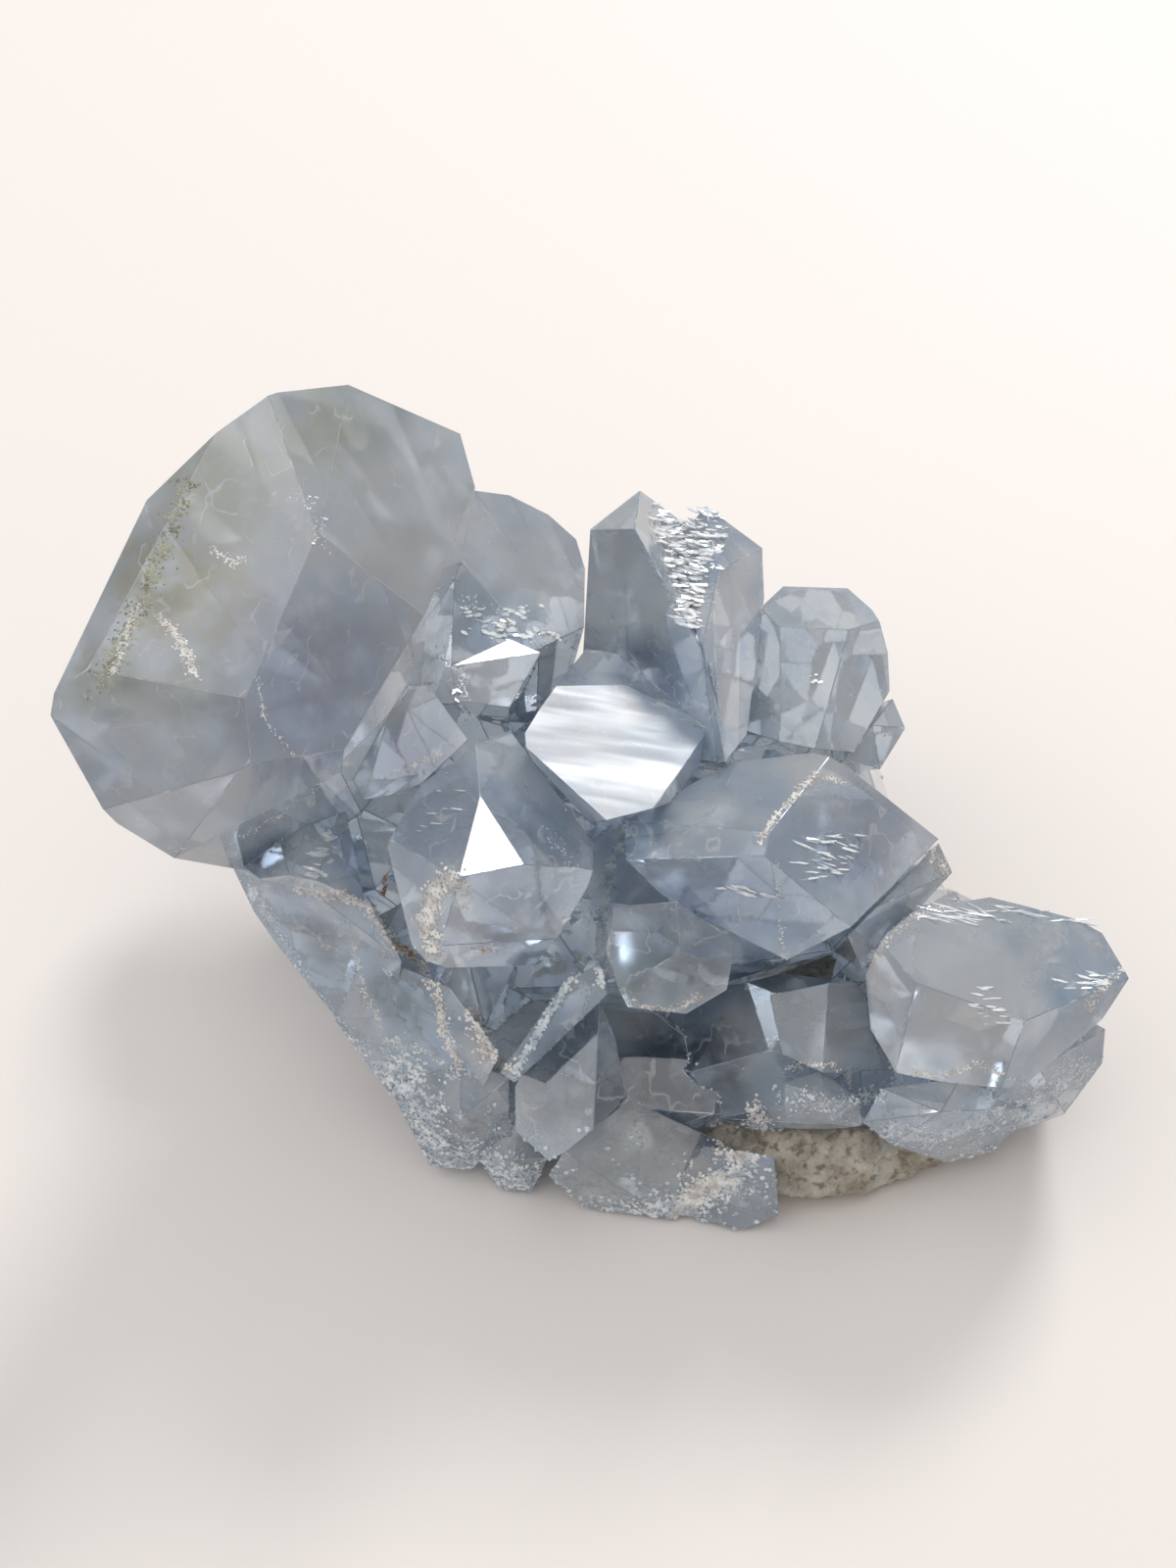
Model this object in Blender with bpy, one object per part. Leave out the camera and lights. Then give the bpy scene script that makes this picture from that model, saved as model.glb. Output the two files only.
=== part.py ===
"""Celestite cluster: intergrown pale blue crystals on massive celestite, with a foot of sandy wall rock.

Every crystal is laid out on one drawing of the cluster, seen from its front and from 50 degrees above the
ground. A drawing place is (across, up, near) in millimetres: across to the right, up the sheet, and near
towards the eye, all from the sheet's centre. The model itself is in metres, +Z up, and its origin is the
middle of its box at ground level.
"""

import math
import random

import bmesh
import bpy
from mathutils import Quaternion, Vector

MM = 0.001

# The drawing: how high the eye looks from, how far away it is, and where the sheet's centre is in the room.
EYE_ELEVATION = math.radians(50)
EYE_DISTANCE = 320.0
SHEET_CENTRE = Vector((0.0, 0.0, 34.0))
SHEET_RIGHT = Vector((1, 0, 0))
SHEET_UP = Vector((0, math.sin(EYE_ELEVATION), math.cos(EYE_ELEVATION)))
SHEET_NEAR = Vector((0, -math.cos(EYE_ELEVATION), math.sin(EYE_ELEVATION)))

# The sandy foot: its middle, its reach each way, its flat top above the middle, and the hairline gap to the
# crystals. Each of its sides is three faces, as (tilt in degrees, share of the reach), and one more face cuts
# off its front left corner.
FOOT_CENTRE = Vector((14.0, -7.0, 3.0))
FOOT_RADII = (38.0, 24.0, 9.0)
FOOT_SIDES = 14
FOOT_TURN = 0.2
FOOT_TIERS = ((-40, 0.94), (8, 1.0), (48, 0.93))
FOOT_WAVER = 5.0
FOOT_SWELL = 0.05
FOOT_TOP = 5.0
FOOT_TOP_NORMAL = Vector((0.05, 0.03, 1.0))
FOOT_CORNER = Vector((19.0, -29.5, 0.0))
FOOT_CORNER_NORMAL = Vector((-0.43, -0.90, 0.1))
FOOT_GAP = 0.3
CRYSTAL_CLEARANCE = 0.5

# A crystal's side faces lean towards a point this many root depths down, and its first guess of the inside.
TAPER_REACH = 2.2
INSIDE_SHARE = 0.3

# A hidden crystal's faces: how much its tip is cut, how its chisel faces and its flanks are turned.
TIP_CUT = 0.8
TIP_LEAN = 0.12
SIDE_LEAN = 0.04
CHISEL_SIDE = (0.62, 0.78)
CHISEL_FRONT = (0.8, 0.6)
FLANK_TURN = (0.55, 0.83)
FLANK_REACH = 1.15

# A lump's points and how far each is moved in or out.
LUMP_POINTS = 34
LUMP_REACH = (0.86, 1.08)

BLOCK_SIZE = 400.0
ON_PLANE = 0.0001
WELD = 0.0005


def at(across, up, near):
    """Return the room place, in millimetres, of a place on the drawing."""
    shrink = (EYE_DISTANCE - near) / EYE_DISTANCE
    return SHEET_CENTRE + SHEET_RIGHT * across * shrink + SHEET_UP * up * shrink + SHEET_NEAR * near


def cut_block(planes):
    """Return a mesh of what is left of a block after every plane (point, outward normal) has cut it."""
    shape = bmesh.new()
    bmesh.ops.create_cube(shape, size=BLOCK_SIZE)
    for point, normal in planes:
        everything = shape.verts[:] + shape.edges[:] + shape.faces[:]
        bmesh.ops.bisect_plane(
            shape, geom=everything, dist=ON_PLANE, plane_co=point, plane_no=normal, clear_outer=True
        )
        rim = [edge for edge in shape.edges if edge.is_boundary]
        if rim:
            bmesh.ops.holes_fill(shape, edges=rim, sides=0)
    bmesh.ops.recalc_face_normals(shape, faces=shape.faces[:])
    return shape


def add_object(name, shape):
    """Make an object called name from a mesh in millimetres, and free the mesh."""
    mesh = bpy.data.meshes.new(name)
    shape.to_mesh(mesh)
    shape.free()
    piece = bpy.data.objects.new(name, mesh)
    bpy.context.scene.collection.objects.link(piece)
    return piece


def plane_through(one, two, three, inside):
    """Return the plane through three places as (point, normal), with the normal away from inside."""
    normal = (two - one).cross(three - one).normalized()
    if normal.dot(inside - one) > 0:
        normal = -normal
    return one, normal


def near_on(plane, across, up):
    """Return how near the eye a plane is at a place on the drawing, or None where it faces away."""
    point, normal = plane
    sight = at(across, up, 0)
    towards = at(across, up, 1) - sight
    slope = towards.dot(normal)
    return (point - sight).dot(normal) / slope if slope > 0.05 else None


def crystal_planes(corners, facets, outline, root):
    """Return every face plane of a crystal.

    corners maps a letter to a drawing place, where near is only needed by the letters that set a facet. A
    facet is a word whose first three letters lie on it. The outline is a word that walks round the crystal's
    edge as drawn: its corners lie on the facets, and a side face runs from each of its edges towards a point
    beyond root, where the crystal is cut off.
    """
    core = at(*root)
    planes = []
    for facet in facets:
        places = [at(*corners[letter]) for letter in facet[:3]]
        planes.append(plane_through(*places, core))
    rim = []
    for letter in outline:
        across, up = corners[letter][:2]
        nears = [near_on(plane, across, up) for plane in planes]
        rim.append(at(across, up, min(near for near in nears if near is not None)))
    middle = sum(rim, Vector()) / len(rim)
    apex = middle.lerp(core, TAPER_REACH)
    inside = middle.lerp(core, INSIDE_SHARE)
    for place, following in zip(rim, rim[1:] + rim[:1]):
        planes.append(plane_through(place, following, apex, inside))
    planes.append((core, (core - middle).normalized()))
    return planes


def crystal(name, corners, facets, outline, root):
    """Make one crystal from its corners, facets and outline."""
    return add_object(name, cut_block(crystal_planes(corners, facets.split(), outline, root)))


LARGE_LEFT = dict(
    a=(-54.9, 7.0, 28), b=(-42.9, 33.5, 21), c=(-31.7, 40), d=(-23.6, 42.4), e=(-16.8, 39.6, 11), f=(-11.5, 30.3),
    g=(-16.5, 17.5), h=(-27.4, 25.5, 26), i=(-30, 37.2, 22), j=(-40.6, 31, 24), k=(-51.1, 11.7, 29),
    l=(-35.9, 6.7, 31), m=(-35.6, 1.3, 29.5), n=(-48.1, -4, 26), o=(-42.2, -7.6, 22), p=(-25.2, 1.2),
    q=(-25.2, 3.2, 23), r=(-19.5, 19.4, 20), s=(-24, 41.8, 18), t=(-13.2, 36.4),
)
TWIN = dict(
    a=(5.3, 30, -1), b=(0.2, 26, 1), c=(-0.6, 12), d=(4.8, 26, 5), e=(10.3, 16, 7), f=(12, 25),
    h=(12.9, 19.8, 5), i=(14.8, 22.3, 2), j=(12, 28.4, -2), k=(17.8, 24.1, -3), l=(18, 19, -2),
    m=(16.2, 5, 4), n=(14, 2.2), o=(8.5, 24), p=(4, 3), r=(10.6, 15.5, 6),
)
CRYSTALS = {
    "large_left": dict(
        corners=LARGE_LEFT, facets="kjb kma nmo mqo hlr kjl hre sih", outline="abcdetfgpon", root=(-24, 5, -9),
    ),
    "twin_left": dict(
        corners=TWIN, facets="bde abd ade", outline="bafnpc", root=(11, 8, -22),
    ),
    "twin_right": dict(
        corners=TWIN, facets="hlm jki jhr", outline="jklmnro", root=(4, 8, -22),
    ),
    "centre": dict(
        corners=dict(
            a=(-3, 10, 6.3), b=(3.8, 9.9, 4.4), c=(11.6, 6.6, 4.8), d=(12, 5, 6), e=(6.5, -2.8, 14.2),
            f=(1.5, -3.4, 16.2), g=(-6.2, 3.6, 12.6), h=(-6.5, 5.2), i=(-0.2, 13.8, 0.5),
            j=(7.2, 12.5, -1.5), k=(10.8, 9.6, -1.5), l=(-5.7, 2.4, 10.5), m=(0.2, -3.9), n=(12.6, 3.4, 3),
            o=(8.5, -1.9, 9), p=(-5, 7.6),
        ),
        facets="cfa aib bjc gfl deo", outline="ijkcnomlhp", root=(3, 2, -16),
    ),
    "front_left": dict(
        corners=dict(
            a=(-12.2, 3.5), b=(-11, -1.2, 15.5), c=(-6.5, -8.2, 20.1), d=(-13.2, -9.5, 23.2),
            e=(-20.5, -6.5, 17.5), f=(-17, 0), g=(-8, 5.5), h=(-1, -3.8, 11), i=(0.5, -6.2), j=(0, -10.5),
            k=(-3.8, -10.5), l=(-5.5, -15.8, 14.9), m=(-15, -16.5, 20), n=(-5.5, -18.5, 9.8),
            o=(-14.5, -18.8, 15.5), p=(-18, -16.5), q=(-19.5, -8.2, 17),
        ),
        facets="bde bch bcd dcm dmq mlo", outline="faghijnope", root=(-10, -7, -12),
    ),
    "purple_pyramid": dict(
        corners=dict(
            a=(-19.5, 10, 11), b=(-16.2, 10), c=(-12.2, 4.5, 8), d=(-17, 0), e=(-20.2, -1.2),
            f=(-22.8, -1.6, 15.5), h=(-25.2, 3, 11), i=(-23.8, 0),
        ),
        facets="acf ahf", outline="abcdefih", root=(-19, 3, -14),
    ),
    "low_left": dict(
        corners=dict(
            a=(-36.7, -6.2, 2), b=(-32, -4, 6), c=(-25.5, 0.8, 5), e=(-22.8, -12, 8), f=(-27.8, -9.3, 12.8),
            g=(-30.4, -9.3, 13.6), h=(-25.8, -4.3, 8), i=(-36.3, -7.6), j=(-31.8, -10.2, 9),
        ),
        facets="cgb che hgf gej abg", outline="abceji", root=(-28, -6, -14),
    ),
    "centre_right": dict(
        corners=dict(
            a=(3.7, -3.8, 10.5), b=(14.5, 2.2, 6), c=(23, 3.2), d=(26.6, 1.7), e=(35.8, -5.6, 5),
            f=(27.5, -14), g=(20.3, -18, 12), h=(8.3, -12.1), j=(3.8, -7.7, 13),
            k=(17.2, -6.6, 16), l=(23.2, 1, 9), m=(17.2, -4.3, 13.8),
        ),
        facets="jkg kle klb amj", outline="abcdefghj", root=(17, -8, -14),
    ),
    "blue_slab": dict(
        corners=dict(
            a=(35.8, -6, 3), b=(37.2, -9, 2), c=(34, -12.5), d=(28, -19, 9), e=(26.5, -15.5), f=(29.5, -12.5, 10),
        ),
        facets="bdf afb", outline="abcdef", root=(26, -13, -12),
    ),
    "right_tip": dict(
        corners=dict(
            a=(33.7, -12.7), b=(41, -11.5), c=(50, -13.8), d=(52.5, -15.2, 2), t=(55.2, -19.9, 5.2),
            e=(52.5, -24), f=(44.5, -30.8, 7), g=(36, -30.4, 9), h=(31.5, -29.5, 9), i=(28.8, -25),
            j=(28.3, -19.5, 9), k=(30.5, -15.2, 10.5), l=(33.5, -20.3, 14), m=(44.5, -24.3, 13.4),
        ),
        facets="kdl lmg mtf ljh", outline="abcdtefghijk", root=(38, -21, -16),
    ),
    "right_back": dict(
        corners=dict(
            a=(19.9, 20.2, -6), b=(26.5, 20, -9), c=(29, 17.8), d=(30.6, 13.5), e=(30.8, 9.5, -5),
            f=(27, 3), g=(23.8, 3.5, 2.2), h=(16.2, 4.8, 1), i=(16.2, 12), j=(17.6, 18),
            k=(19.6, 16, 1), l=(19.6, 4.6, 4), m=(27, 17, -2.5),
        ),
        facets="klh klm mge abk", outline="abcdefghij", root=(23, 10, -24),
    ),
    "right_back_small": dict(
        corners=dict(
            a=(26, 7, -4), b=(31.1, 8.7, -8), c=(32.4, 5.7, -7), d=(29.8, 1.5, -4), e=(26.2, 2.5, -2),
            f=(29, 6, -3.5),
        ),
        facets="fab fbc fcd fde fea", outline="abcde", root=(26, 3, -22),
    ),
    "rear_left": dict(
        corners=dict(
            a=(-11.6, 30), b=(-8, 29.5), c=(-4, 27.5), d=(-1.2, 25, -9), e=(-0.3, 22), f=(-0.4, 16),
            g=(-5, 13.8, 2.5), h=(-14, 12, 6), i=(-13.5, 24), j=(-11, 20.5, 2),
        ),
        facets="jgd jgh", outline="abcdefghi", root=(-6, 10, -22),
    ),
    "sliver": dict(
        corners=dict(
            a=(-14, 12, 8.1), b=(-8, 14.8, 4), c=(-4.8, 13.4, 4.2), d=(-8, 7.8, 7), e=(-13.5, 8.5),
        ),
        facets="abc acd", outline="abcde", root=(-9, 8, -15),
    ),
    "lower_right": dict(
        corners=dict(
            a=(18.3, -20.5, 6), b=(27.8, -20, 5), c=(29, -25), d=(30.3, -30.5), e=(24, -29.5, 7),
            f=(20, -28.5), g=(24.5, -20.3, 9),
        ),
        facets="age geb", outline="agbcdef", root=(24, -24, -12),
    ),
    "small_front": dict(
        corners=dict(
            a=(20, -30.5, 5), b=(23.8, -29.2, 6), c=(28, -32.5, 4), d=(25, -34.4, 4), e=(20, -34, 4),
            f=(23.8, -32, 8.5),
        ),
        facets="fab fbc fcd fde fea", outline="abcde", root=(24, -32, -10),
    ),
    "rounded_middle": dict(
        corners=dict(
            a=(2.5, -12.5, 12), b=(9, -12, 15), c=(15, -16, 12.5), d=(14.2, -21, 8.5), e=(10, -23.5, 7),
            f=(4, -22.8, 7.5), g=(1.8, -17, 10), h=(9.5, -18, 13.2), i=(4.5, -18, 12.4),
        ),
        facets="abh bch ief gai hde", outline="abcdefg", root=(9, -17, -12),
    ),
    "front_pyramid": dict(
        corners=dict(
            a=(4.2, -32.2, 4), b=(-2.5, -37.5, 1), c=(-4, -40, -4), d=(0, -43.5, -7), e=(8.5, -44.5, -6),
            f=(10, -38.8, 1), g=(17, -39.7, -2), h=(13.5, -36.5, 0),
        ),
        facets="abe afg bed", outline="abcdegh", root=(6, -38, -22),
    ),
    "recess_pyramid": dict(
        corners=dict(
            a=(1.2, -22, 4), b=(-5.5, -25.5), c=(-7.5, -31, 2), d=(-7.3, -35.5), e=(-4, -38.5),
            f=(-2.2, -37.5), g=(0.6, -34, 5), h=(4, -32, 3), i=(2.8, -26),
        ),
        facets="agc agh", outline="abcdefhi", root=(-2, -31, -18),
    ),
    "strut": dict(
        corners=dict(
            a=(-2.2, -20, 9), b=(1.2, -18.3, 10), c=(2, -21.5, 9), d=(-7.5, -30.5, 7), e=(-9, -29.5, 7),
        ),
        facets="ace", outline="abcde", root=(-3, -24, -10),
    ),
    "flank_upper": dict(
        corners=dict(
            a=(-36.9, -7.2, 2), b=(-33.8, -13.7), c=(-30, -18.6, 0), d=(-25.8, -24, -2), e=(-20, -26),
            f=(-19, -18, 8.5), g=(-22.5, -12, 8.5), h=(-30, -9.6, 7),
        ),
        facets="hgf hfd hac", outline="abcdefgh", root=(-25, -13, -12),
    ),
    "flank_middle": dict(
        corners=dict(
            a=(-22.8, -17, 6), b=(-14, -20.8, 8.5), c=(-9, -27.5, 7), d=(-12, -34), e=(-20.2, -31.7, -3),
            f=(-25.8, -24.2, -1), g=(-17, -23, 7),
        ),
        facets="gbc gfa gfe gce gab", outline="abcdef", root=(-16, -25, -14),
    ),
    "flank_toe": dict(
        corners=dict(
            a=(-20.2, -31, -2), b=(-18, -35.5, -5), c=(-16, -39, -8), d=(-12, -39.4, -8), e=(-8, -36, -4),
            f=(-8, -30, 3), g=(-13, -28, 4), h=(-13, -34, 2),
        ),
        facets="hab hbc hcd hde hef hfg hga", outline="abcdefg", root=(-13, -34, -20),
    ),
    "flank_heel": dict(
        corners=dict(
            a=(-11.5, -37.5, -6), b=(-10, -40, -8), c=(-8.5, -41.8, -9), d=(-5.8, -41.6, -8), e=(-4, -38, -4),
            f=(-7, -34, -1), g=(-7.5, -38.5, -2),
        ),
        facets="gab gbc gcd gde gef gfa", outline="abcdef", root=(-8, -38, -20),
    ),
    "right_toe": dict(
        corners=dict(
            a=(40, -28, 4), b=(49, -23, 3), c=(52.8, -25, 1), d=(52.5, -28.5, -2), e=(48.5, -33.8, -5),
            f=(44.5, -35.2, -6), g=(38, -35, -3), h=(46, -29, 4),
        ),
        facets="hab hbc hcd hde hef hfg hga", outline="abcdefg", root=(44, -29, -16),
    ),
    "right_heel": dict(
        corners=dict(
            a=(30, -31, 4), b=(38, -30, 4), c=(45.5, -33, -3), d=(41.2, -37.6, -6), e=(36.5, -38.6, -5),
            f=(31, -36.8, -1), g=(28, -34.5, 1), h=(36, -33.5, 5),
        ),
        facets="hab hbc hcd hde hef hfg hga", outline="abcdefg", root=(36, -35, -18),
    ),
    "front_toe": dict(
        corners=dict(
            a=(8.5, -41, -3), b=(9, -45.2, -5.5), c=(11, -45.9), d=(15, -45.9, -5.5), e=(19.5, -44),
            f=(19, -38, 3), g=(12, -37, 1),
        ),
        facets="gab gbd gdf", outline="abcdefg", root=(14, -41, -20),
    ),
}

# Massive celestite under and behind the crystals: (centre in the room, radii, seed), in millimetres.
LUMPS = (
    ((2, 4, 17), (32, 20, 14), 1),
    ((-22, 2, 24), (12, 13, 11), 2),
    ((-16, -9, 16), (12, 11, 12), 3),
    ((-8, -15, 9), (12, 11, 8), 4),
    ((4, -19, 8), (16, 9, 8), 5),
    ((20, -17, 10), (16, 9, 9), 6),
    ((36, -14, 10), (12, 10, 8), 7),
    ((36, -6, 12), (10, 9, 8), 8),
    ((6, 16, 17), (18, 12, 14), 9),
    ((-18, 14, 20), (15, 12, 13), 10),
    ((22, 12, 14), (12, 13, 12), 11),
)

# Crystals that the front hides: (foot in the room, tip in the room, half width, half depth, roll).
PRISMS = (
    ((-20, 12, 18), (-33, 33, 34), 8.0, 6.0, 0.3),
    ((-8, 14, 16), (-14, 36, 24), 7.0, 5.5, 1.1),
    ((6, 16, 16), (8, 37, 26), 7.5, 5.0, 0.4),
    ((18, 12, 14), (26, 33, 20), 7.0, 5.0, 2.0),
    ((26, 2, 10), (41, 4, 7), 6.5, 4.5, 0.7),
    ((-24, 6, 18), (-44, 11, 22), 7.5, 5.5, 0.2),
    ((-20, 4, 12), (-34, 9, 9), 6.0, 4.0, 1.4),
    ((-20, 14, 22), (-27, 33, 47), 7.5, 6.0, 0.8),
    ((-26, 10, 16), (-44, 24, 25), 7.0, 5.5, 2.6),
    ((10, 14, 10), (16, 31, 7), 6.0, 4.5, 0.9),
    ((-8, 14, 10), (-16, 31, 9), 6.5, 4.5, 2.4),
)


def prism_planes(foot, tip, half_width, half_depth, roll):
    """Return the planes of a stout prism with a chisel tip, growing from foot to tip."""
    foot = Vector(foot)
    tip = Vector(tip)
    axis = (tip - foot).normalized()
    side = axis.orthogonal().normalized()
    side.rotate(Quaternion(axis, roll))
    front = axis.cross(side)
    planes = [(foot, -axis), (tip - axis * TIP_CUT, (axis + side * TIP_LEAN).normalized())]
    for sideways in (-side, side):
        planes.append((tip + sideways * half_width, (sideways + axis * SIDE_LEAN).normalized()))
        planes.append((tip, (axis * CHISEL_SIDE[0] + sideways * CHISEL_SIDE[1]).normalized()))
        for forwards in (-front, front):
            flank = (sideways * FLANK_TURN[0] + forwards * FLANK_TURN[1]).normalized()
            planes.append((tip + flank * half_depth * FLANK_REACH, flank))
    for forwards in (-front, front):
        planes.append((tip + forwards * half_depth, forwards))
        planes.append((tip, (axis * CHISEL_FRONT[0] + forwards * CHISEL_FRONT[1]).normalized()))
    return planes


def lump(name, centre, radii, seed):
    """Make a rough lump: the hull of points scattered evenly over an ellipsoid, each in or out a little."""
    chance = random.Random(seed)
    shape = bmesh.new()
    golden = math.pi * (3 - math.sqrt(5))
    for index in range(LUMP_POINTS):
        height = 1 - 2 * (index + 0.5) / LUMP_POINTS
        ring = math.sqrt(1 - height * height)
        turn = golden * index + seed
        reach = chance.uniform(*LUMP_REACH)
        spot = (ring * math.cos(turn), ring * math.sin(turn), height)
        shape.verts.new([c + r * s * reach for c, r, s in zip(centre, radii, spot)])
    hull = bmesh.ops.convex_hull(shape, input=shape.verts[:])
    loose = [item for item in hull["geom_interior"] + hull["geom_unused"] if isinstance(item, bmesh.types.BMVert)]
    bmesh.ops.delete(shape, geom=list(set(loose)), context="VERTS")
    bmesh.ops.recalc_face_normals(shape, faces=shape.faces[:])
    return add_object(name, shape)


def foot_planes(margin):
    """Return the planes of the sandy foot, moved outwards by margin."""
    planes = [(Vector((0, 0, -margin)), Vector((0, 0, -1)))]
    for step in range(FOOT_SIDES):
        turn = 2 * math.pi * step / FOOT_SIDES + FOOT_TURN
        for tilt, reach in FOOT_TIERS:
            lean = math.radians(tilt + FOOT_WAVER * math.sin(3 * step))
            normal = Vector((math.cos(turn) * math.cos(lean), math.sin(turn) * math.cos(lean), math.sin(lean)))
            support = math.sqrt(sum((radius * part) ** 2 for radius, part in zip(FOOT_RADII, normal)))
            swell = reach * (1 + FOOT_SWELL * math.sin(2 * step + tilt))
            planes.append((FOOT_CENTRE + normal * (support * swell + margin), normal))
    corner = FOOT_CORNER_NORMAL.normalized()
    planes.append((FOOT_CORNER + corner * margin, corner))
    planes.append((FOOT_CENTRE + Vector((0, 0, FOOT_TOP + margin)), FOOT_TOP_NORMAL.normalized()))
    return planes


def combine(name, pieces, operation, tool):
    """Return name as a new object: the pieces united, or the first piece with the tool taken away."""
    base = pieces[0]
    modifier = base.modifiers.new(operation, "BOOLEAN")
    modifier.solver = "EXACT"
    modifier.operation = operation
    if tool is None:
        helpers = bpy.data.collections.new("helpers")
        for piece in pieces[1:]:
            helpers.objects.link(piece)
        modifier.operand_type = "COLLECTION"
        modifier.collection = helpers
    else:
        modifier.object = tool
    bpy.context.view_layer.update()
    evaluated = base.evaluated_get(bpy.context.evaluated_depsgraph_get())
    mesh = bpy.data.meshes.new_from_object(evaluated)
    mesh.name = name
    result = bpy.data.objects.new(name, mesh)
    bpy.context.scene.collection.objects.link(result)
    for piece in pieces:
        bpy.data.objects.remove(piece)
    if tool is None:
        bpy.data.collections.remove(helpers)
    else:
        bpy.data.objects.remove(tool)
    return result


def shells_of(shape):
    """Return the faces of a mesh as a list for each connected shell."""
    waiting = set(shape.faces)
    shells = []
    while waiting:
        edge_of_search = [waiting.pop()]
        shell = []
        while edge_of_search:
            face = edge_of_search.pop()
            shell.append(face)
            for edge in face.edges:
                for neighbour in edge.link_faces:
                    if neighbour in waiting:
                        waiting.remove(neighbour)
                        edge_of_search.append(neighbour)
        shells.append(shell)
    return shells


def tidy(piece):
    """Make a piece solid all through, weld its tiny edges and drop the faces that they leave."""
    shape = bmesh.new()
    shape.from_mesh(piece.data)
    shells = sorted(shells_of(shape), key=len)
    hollows = [face for shell in shells[:-1] for face in shell]
    bmesh.ops.delete(shape, geom=hollows, context="FACES")
    bmesh.ops.remove_doubles(shape, verts=shape.verts[:], dist=WELD)
    bmesh.ops.dissolve_degenerate(shape, edges=shape.edges[:], dist=WELD)
    bmesh.ops.triangulate(shape, faces=shape.faces[:])
    shape.to_mesh(piece.data)
    shape.free()


def finish(name, colour, roughness):
    """Return a plain opaque finish."""
    material = bpy.data.materials.new(name)
    material.use_nodes = True
    shader = material.node_tree.nodes["Principled BSDF"]
    shader.inputs["Base Color"].default_value = (*colour, 1)
    shader.inputs["Roughness"].default_value = roughness
    shader.inputs["Metallic"].default_value = 0
    return material


def to_metres(pieces):
    """Put the middle of the pieces' floor at the origin, scale them to metres, and return where it was."""
    places = [vertex.co for piece in pieces for vertex in piece.data.vertices]
    low = Vector([min(place[axis] for place in places) for axis in range(3)])
    high = Vector([max(place[axis] for place in places) for axis in range(3)])
    origin = Vector(((low.x + high.x) / 2, (low.y + high.y) / 2, low.z))
    for piece in pieces:
        for vertex in piece.data.vertices:
            vertex.co = (vertex.co - origin) * MM
    return origin


def main():
    """Build the crystals and the matrix, and return where the origin lies in the drawing's room."""
    for item in list(bpy.data.objects):
        bpy.data.objects.remove(item)
    grown = [crystal(name, **form) for name, form in CRYSTALS.items()]
    grown += [add_object(f"prism_{index}", cut_block(prism_planes(*form))) for index, form in enumerate(PRISMS)]
    grown += [lump(f"lump_{seed}", centre, radii, seed) for centre, radii, seed in LUMPS]
    crystals = combine("crystals", grown, "UNION", None)
    ground = add_object("ground", cut_block([(Vector((0, 0, CRYSTAL_CLEARANCE)), Vector((0, 0, 1)))]))
    crystals = combine("crystals", [crystals], "DIFFERENCE", ground)
    seat = add_object("seat", cut_block(foot_planes(FOOT_GAP)))
    crystals = combine("crystals", [crystals], "DIFFERENCE", seat)
    crystals.name = "crystals"
    matrix = add_object("matrix", cut_block(foot_planes(0)))
    for piece in (crystals, matrix):
        tidy(piece)
    crystals.data.materials.clear()
    crystals.data.materials.append(finish("celestite", (0.42, 0.50, 0.58), 0.25))
    matrix.data.materials.append(finish("sandy_rock", (0.46, 0.41, 0.33), 0.9))
    return to_metres([crystals, matrix])


main()
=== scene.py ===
"""Celestite cluster: the clear crystals, their pale edges, growth steps, crusts, stains, painted shade and
wall rock.
"""

import logging
import math
import random
from dataclasses import dataclass, field
from enum import Enum

import bmesh
import bpy
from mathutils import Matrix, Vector, noise
from mathutils.bvhtree import BVHTree


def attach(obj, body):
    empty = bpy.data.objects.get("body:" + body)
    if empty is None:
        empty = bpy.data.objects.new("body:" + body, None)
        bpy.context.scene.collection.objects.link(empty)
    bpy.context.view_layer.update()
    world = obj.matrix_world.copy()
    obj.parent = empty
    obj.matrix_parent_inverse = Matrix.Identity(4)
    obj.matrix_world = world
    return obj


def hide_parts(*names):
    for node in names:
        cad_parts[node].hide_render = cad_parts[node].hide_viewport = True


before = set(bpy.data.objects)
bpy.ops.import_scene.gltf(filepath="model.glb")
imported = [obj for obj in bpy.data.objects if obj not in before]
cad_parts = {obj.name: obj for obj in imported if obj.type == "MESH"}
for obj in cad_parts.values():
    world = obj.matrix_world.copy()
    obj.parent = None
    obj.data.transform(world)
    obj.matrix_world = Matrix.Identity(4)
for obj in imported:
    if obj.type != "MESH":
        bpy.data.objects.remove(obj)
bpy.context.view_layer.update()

LOG = logging.getLogger("celestite")
MM = 0.001
PHOTO_PIXELS_PER_MM = 10.0
PHOTO_MIDDLE = (600.0, 800.0)
Colour = tuple[float, float, float]
Place = tuple[float, float, float]
Form = tuple[list[Vector], list[list[int]]]
Socket = bpy.types.NodeSocket
Feed = float | Colour | Socket


class Slot(Enum):
    """The record's material slots."""

    CELESTITE = "celestite"
    SANDY_ROCK = "sandy_rock"


def srgb(red: int, green: int, blue: int) -> Colour:
    """Return a screen colour as linear light.

    Args:
        red: Red, 0 to 255.
        green: Green, 0 to 255.
        blue: Blue, 0 to 255.

    Returns:
        The colour in linear light.
    """
    shares = (value / 255 for value in (red, green, blue))
    return tuple(s / 12.92 if s <= 0.04045 else ((s + 0.055) / 1.055) ** 2.4 for s in shares)


def link(name: str, data: bpy.types.ID) -> bpy.types.Object:
    """Put a mesh, a light or a camera in the scene.

    Args:
        name: The new object's name.
        data: The mesh, light or camera.

    Returns:
        The new object.
    """
    made = bpy.data.objects.new(name, data)
    bpy.context.scene.collection.objects.link(made)
    return made


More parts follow.
